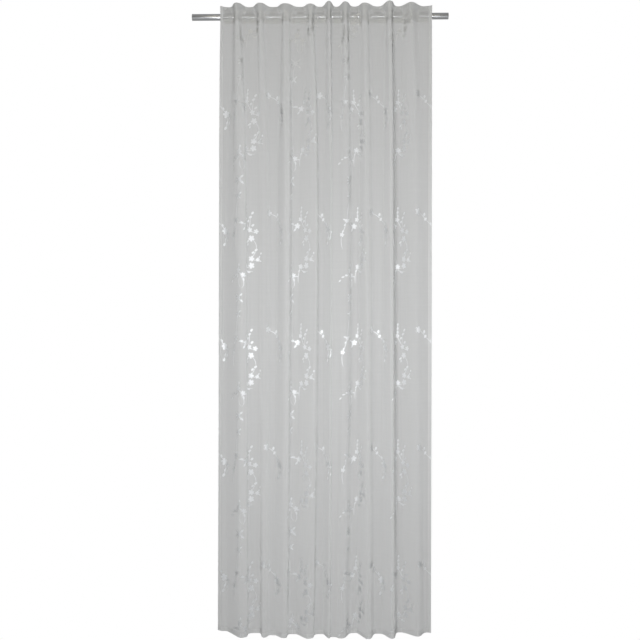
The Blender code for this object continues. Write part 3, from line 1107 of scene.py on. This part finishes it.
def tape_material():
    """Close woven polyester tape: it backs the heading with an even white band."""
    material, tree = new_material("woven_polyester_heading_tape")
    cover = map_range(tree, on_rod_share(tree), 0.0, 1.0, TAPE_COVER, TAPE_COVER_ON_ROD)
    threads = matt_threads(tree, linear(TAPE_YARN), TAPE_THROUGH)
    return close_material(material, open_weave(tree, cover, threads))


tape = place("heading_tape_band", flat_tape())
tape.data.materials.append(tape_material())
thicken(tape, TAPE_THICKNESS, -1.0)
hang_up(tape.data)
mark_on_rod(tape.data, TAPE_BEHIND, above=1.0)
mark_on_rod(panel.data, 0.0, above=0.25)
smooth(tape.data, 50)
print("tape:", triangles(tape), "triangles")

# %% [markdown]
# ## The loops
#
# Each loop is a strip of tape 30 mm wide. It is sewn to the heading tape above and below the rod and
# goes round the back of the rod between them. One loop is swept along its line, and Geometry Nodes put a
# copy at each place where the cloth lies flat. The loops are hidden in the photo. The last two at the
# right are guessed, since the rod doesn't clearly show through there.

# %% Loops
TAPE_BACK_Y = -0.0133
LOOP_GAP = 0.3 * MM
LOOP_WIDTH = 0.030
LOOP_THICKNESS = 1.0 * MM
LOOP_CLEARANCE = 0.4 * MM
LOOP_FOOT_TOP = 0.028
LOOP_FOOT_INNER = 0.0175
LOOP_ARC_STEPS = 32
LOOP_COLUMNS = 6
BAND_COVER = 0.65
BAND_DARK = "cfcec9"
BAND_LIGHT = "e2e1dc"
# The wave texture turns by 20 radians for each metre and unit of its scale, so the ribs stand 12.6 mm
# apart. Real ones are 1 to 2 mm apart, which is too fine to show.
RIB_SCALE = 25.0


def loop_line():
    """The middle of a loop, seen along the rod: down the tape, round the rod and down again."""
    foot_y = TAPE_BACK_Y + LOOP_GAP + LOOP_THICKNESS / 2
    reach = ROD_RADIUS + LOOP_CLEARANCE + LOOP_THICKNESS / 2
    turn = LOOP_FOOT_INNER - reach
    upper = [(foot_y, LOOP_FOOT_TOP), (foot_y, (LOOP_FOOT_TOP + LOOP_FOOT_INNER) / 2)]
    for i in range(5):
        angle = math.radians(90) * i / 4
        upper.append((foot_y + turn * (1 - math.cos(angle)), LOOP_FOOT_INNER - turn * math.sin(angle)))
    upper.append(((foot_y + turn) / 2, reach))
    angles = [math.pi / 2 - math.pi * i / LOOP_ARC_STEPS for i in range(LOOP_ARC_STEPS + 1)]
    around = [(reach * math.cos(a), reach * math.sin(a)) for a in angles]
    return upper + around + [(y, -z) for y, z in reversed(upper)]


def loop_strip():
    """One loop as a strip without thickness, with its measures across and along as UVs."""
    line = np.array(loop_line())
    along = lengths(line)
    across = np.linspace(-LOOP_WIDTH / 2, LOOP_WIDTH / 2, LOOP_COLUMNS + 1)
    verts = [(x, y, z) for y, z in line for x in across]
    wide = len(across)
    faces = [
        (r * wide + c, r * wide + c + 1, (r + 1) * wide + c + 1, (r + 1) * wide + c)
        for r in range(len(line) - 1)
        for c in range(wide - 1)
    ]
    mesh = new_mesh("loop_strip", verts, faces=faces)
    uv = mesh.uv_layers.new(name="flat")
    for corner in mesh.loops:
        row, col = divmod(corner.vertex_index, wide)
        uv.data[corner.index].uv = (across[col], along[row])
    return mesh


strip = place("loop_strip", loop_strip())
thicken(strip, LOOP_THICKNESS, 0.0)
print("one loop:", triangles(strip), "triangles")


def loop_tree():
    tree, given = new_tree("loops_along_rod", {"Loop": "Object", "Material": "Material"})
    shape = add_node(tree, "GeometryNodeObjectInfo", {"Object": given["Loop"]})
    copies = add_node(
        tree,
        "GeometryNodeInstanceOnPoints",
        {"Points": given["Geometry"], "Instance": shape.outputs["Geometry"]},
    )
    close_tree(tree, copies, given["Material"])
    return tree


def woven_band_material():
    """Ribbed polyester band: its cross ribs keep the loops from looking like paper."""
    material, tree = new_material("woven_polyester_band")
    ribs = add_node(
        tree,
        "ShaderNodeTexWave",
        {
            "bands_direction": "Y",
            "Scale": RIB_SCALE,
            "Distortion": 0.6,
            "Detail": 1.0,
            "Vector": flat_measures(tree),
        },
    ).outputs["Fac"]
    tone = mix_colours(tree, ribs, BAND_DARK, BAND_LIGHT)
    raised = add_node(
        tree, "ShaderNodeBump", {"Strength": 0.4, "Distance": 0.2 * MM, "Height": ribs}
    )
    threads = add_node(
        tree,
        "ShaderNodeBsdfPrincipled",
        {"Roughness": 0.85, "Base Color": tone, "Normal": raised},
    )
    return close_material(material, open_weave(tree, BAND_COVER, threads))


loop_points = new_mesh("loop_points", [(v.x_top * MM, 0, 0) for v in VALLEYS])
loops = place("back_loops", loop_points)
run_tree(loops, loop_tree(), {"Loop": strip, "Material": woven_band_material()})
bpy.data.objects.remove(strip)
smooth(loops.data, 50)
print("loops:", triangles(loops), "triangles")

# %% [markdown]
# ## The stitches
#
# White thread holds the hems and the tape: a straight lockstitch, 3.5 mm long, seen from both
# sides. The rows are drawn flat as wire, Geometry Nodes put a small spindle of thread at each stitch,
# and the rows are hung with the cloth.

# %% Stitches
STITCH_PITCH = 3.5 * MM
STITCH_LENGTH = 2.9 * MM
STITCH_WIDTH = 0.55 * MM
THREAD_WHITE = "e6e5e1"
# The middle of the thread lies this far off the cloth, on both sides. A hem's seam runs this far
# inside the hem's inner edge, and a seam of the tape this far inside the tape's edge.
THREAD_LIFT = 0.12 * MM
HEM_SEAM = 2 * MM
TAPE_SEAM = 3 * MM
# How far from the panel's edges the seams end
END_GAP = 4 * MM
FOOT_GAP = 3 * MM


def stitch_rows():
    """Wire for every row of stitches, front and back: along the hems and the tape's two edges."""
    side = SIDE_HEM - HEM_SEAM
    low = HEM_Z + BOTTOM_HEM - HEM_SEAM
    rows = []
    for u in (side, FLAT_WIDTH - side):
        rows.append(((u, TOP_Z - END_GAP), (u, HEM_Z + FOOT_GAP), SIDE_LAYER))
    rows.append(((END_GAP, low), (FLAT_WIDTH - END_GAP, low), TURN_LAYER))
    for z in (TAPE_TOP - TAPE_SEAM, TAPE_BOTTOM + TAPE_SEAM):
        rows.append(((TAPE_INSET, z), (FLAT_WIDTH - TAPE_INSET, z), TAPE_BEHIND + TAPE_THICKNESS))
    verts, wire = [], []
    for start, end, behind in rows:
        for lift in (THREAD_LIFT, -behind - THREAD_LIFT):
            wire.append((len(verts), len(verts) + 1))
            verts += [(*start, lift), (*end, lift)]
    return new_mesh("stitch_rows", verts, wire)


def stitch_tree():
    """A small spindle of thread at each pitch along the rows."""
    inputs = {"Pitch": "Float", "Length": "Float", "Width": "Float", "Material": "Material"}
    tree, given = new_tree("stitches", inputs)
    rows = add_node(tree, "GeometryNodeMeshToCurve", {"Mesh": given["Geometry"]})
    spaced = add_node(
        tree,
        "GeometryNodeResampleCurve",
        {"mode": "LENGTH", "Curve": rows, "Length": given["Pitch"]},
    )
    ball = add_node(tree, "GeometryNodeMeshUVSphere", {"Segments": 6, "Rings": 4, "Radius": 0.5})
    size = combine(tree, X=given["Width"], Y=given["Width"], Z=given["Length"])
    spindle = add_node(tree, "GeometryNodeTransform", {"Geometry": ball, "Scale": size})
    tangent = tree.nodes.new("GeometryNodeInputTangent")
    along = add_node(tree, "FunctionNodeAlignRotationToVector", {"axis": "Z", "Vector": tangent})
    sewn = add_node(
        tree,
        "GeometryNodeInstanceOnPoints",
        {"Points": spaced, "Instance": spindle, "Rotation": along},
    )
    close_tree(tree, sewn, given["Material"])
    return tree


def thread_material():
    """Spun polyester sewing thread, matt and off-white: it gives the seams their fine dotted line."""
    material, tree = new_material("spun_polyester_thread")
    yarn = {"Base Color": linear(THREAD_WHITE), "Roughness": 0.6}
    return close_material(material, add_node(tree, "ShaderNodeBsdfPrincipled", yarn))


stitches = place("stitching", stitch_rows())
run_tree(
    stitches,
    stitch_tree(),
    {
        "Pitch": STITCH_PITCH,
        "Length": STITCH_LENGTH,
        "Width": STITCH_WIDTH,
        "Material": thread_material(),
    },
)
hang_up(stitches.data)
stitches.data.shade_smooth()
print("stitching:", triangles(stitches), "triangles")

# %% [markdown]
# ## The rod
#
# The rod is a steel tube, polished and chromed. It is turned here as a lathe would turn it, in finer
# facets than the solid, because a mirror shows every facet. Each end is a thin ring of wall with a
# flat plug set just inside it. A little roughness spreads its highlight to the band in the photo.

# %% Rod
ROD_HALF = 0.500
ROD_SEGMENTS = 128
CHROME = {"Base Color": linear("dcdddf"), "Metallic": 1.0, "Roughness": 0.34}
ROD_PROFILE = [
    (ROD_HALF - 0.6 * MM, 0.0),
    (ROD_HALF - 0.6 * MM, ROD_RADIUS - 1.7 * MM),
    (ROD_HALF - 0.3 * MM, ROD_RADIUS - 1.6 * MM),
    (ROD_HALF, ROD_RADIUS - 1.5 * MM),
    (ROD_HALF, ROD_RADIUS - 0.6 * MM),
    (ROD_HALF - 0.25 * MM, ROD_RADIUS - 0.2 * MM),
    (ROD_HALF - 0.8 * MM, ROD_RADIUS),
    (ROD_HALF - 0.1, ROD_RADIUS),
]


def turned_rod():
    """The rod's outline from its right end to its left end, turned about X."""
    outline = ROD_PROFILE + [(-x, r) for x, r in reversed(ROD_PROFILE)]
    work = bmesh.new()
    verts = [work.verts.new((x, r, 0)) for x, r in outline]
    edges = [work.edges.new(pair) for pair in zip(verts, verts[1:])]
    bmesh.ops.spin(
        work,
        geom=verts + edges,
        axis=(1, 0, 0),
        cent=(0, 0, 0),
        angle=2 * math.pi,
        steps=ROD_SEGMENTS,
    )
    bmesh.ops.remove_doubles(work, verts=work.verts, dist=1e-6)
    bmesh.ops.recalc_face_normals(work, faces=work.faces)
    mesh = bpy.data.meshes.new("turned_rod")
    work.to_mesh(mesh)
    work.free()
    smooth(mesh, 30)
    return mesh


def chrome_material():
    """Polished, chromed steel: it gives the bright line along the rod."""
    material, tree = new_material("bright_chromed_steel")
    return close_material(material, add_node(tree, "ShaderNodeBsdfPrincipled", CHROME))


rod = place("curtain_rod", turned_rod())
rod.data.materials.append(chrome_material())
print("rod:", triangles(rod), "triangles")

# %% [markdown]
# ## The studio
#
# The photograph has a plain white ground, brighter than the cloth. A room of white that only the
# camera sees gives that ground without flooding the curtain with light. The light on the cloth comes
# from a softbox in front of its middle, where it is brightest, from two weak light walls beside it
# and from a dim room. A warm strip light high in front gives the rod its highlight, and the cloth
# near it a warmer tone. The camera doesn't see the lamps.

# %% Room and floor
FLOOR_Z = HEM_Z - 0.016
ROOM_RADIUS = 9.0
WHITE = "ffffff"


def studio_white():
    material, tree = new_material("studio_white")
    glow = add_node(tree, "ShaderNodeEmission", {"Color": linear(WHITE), "Strength": 1.0})
    return close_material(material, glow)


def studio_room():
    """A flat round floor, then a dome over it."""
    for name, make, fineness in (
        ("floor", bmesh.ops.create_circle, {"cap_ends": True, "segments": 64}),
        ("backdrop", bmesh.ops.create_uvsphere, {"u_segments": 48, "v_segments": 24}),
    ):
        work = bmesh.new()
        make(work, radius=ROOM_RADIUS, **fineness)
        mesh = bpy.data.meshes.new(name)
        work.to_mesh(mesh)
        work.free()
        yield place(name, mesh)


for piece in studio_room():
    piece.data.materials.append(studio_white())
    piece.location.z = FLOOR_Z
    piece.visible_diffuse = False
    piece.visible_glossy = False
    piece.visible_transmission = False
    piece.visible_shadow = False

# %% Light
ROOM_LEVEL = 0.048
ROOM_STEEP = 0.32
LEVEL_BELOW, STEEP_ABOVE = 0.2, 0.8
Softbox = namedtuple("Softbox", "name x y z width height watts colour")
SOFTBOXES = [
    Softbox("front_softbox", 0.05, -2.35, -1.22, 0.9, 0.6, 58.0, "fbfdff"),
    Softbox("left_light_wall", -1.75, -1.50, -1.35, 2.4, 0.9, 2.0, "ffffff"),
    Softbox("right_light_wall", 1.75, -1.50, -1.35, 2.4, 0.9, 2.0, "ffffff"),
    Softbox("high_strip_softbox", -0.02, -2.40, 0.77, 2.2, 0.45, 7.5, "fff4dc"),
]


world = bpy.data.worlds.new("studio")
world.use_nodes = True
bpy.context.scene.world = world
sky = world.node_tree
sky.nodes.clear()
direction = add_node(sky, "ShaderNodeTexCoord").outputs["Generated"]
upward = add_node(sky, "ShaderNodeSeparateXYZ", {0: direction}).outputs["Z"]
# The room is dim level with the eye and brighter overhead and underfoot. The directions between which
# it changes are given as how much of them points up or down.
dimmed = map_range(
    sky, calc(sky, "ABSOLUTE", upward), LEVEL_BELOW, STEEP_ABOVE, ROOM_LEVEL, ROOM_STEEP
)
room = add_node(sky, "ShaderNodeBackground", {"Color": linear(WHITE), "Strength": dimmed})
add_node(sky, "ShaderNodeOutputWorld", {"Surface": room})

for box in SOFTBOXES:
    lamp = bpy.data.lights.new(box.name, "AREA")
    lamp.shape = "RECTANGLE"
    lamp.size = box.width
    lamp.size_y = box.height
    lamp.energy = box.watts
    lamp.color = linear(box.colour)[:3]
    stand = bpy.data.objects.new(box.name, lamp)
    bpy.context.scene.collection.objects.link(stand)
    stand.location = (box.x, box.y, box.z)
    aim = math.atan2(-box.x, -box.y)
    stand.rotation_euler = (math.pi / 2, 0, -aim)
    stand.visible_camera = False

bpy.context.scene.view_settings.view_transform = "Standard"
print(len(SOFTBOXES), "softboxes")

# %% [markdown]
# ## What each piece stands for
#
# Nothing moves here, so every piece rides on the one body.

# %% Riders and replaced solids
LOOP_NODES = [f"tab_{number:02d}" for number in range(1, len(VALLEYS) + 1)]
for piece, slot, nodes in (
    (panel, "voile", ["voile_panel"]),
    (sprays, "voile", []),
    (tape, "tape", ["heading_tape"]),
    (loops, "tape", LOOP_NODES),
    (stitches, "tape", []),
    (rod, "rod", ["rod"]),
):
    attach(piece, "root")
    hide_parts(*nodes)
    print(f"{piece.name}: {triangles(piece)} triangles, stands for {nodes or 'no solid'}")
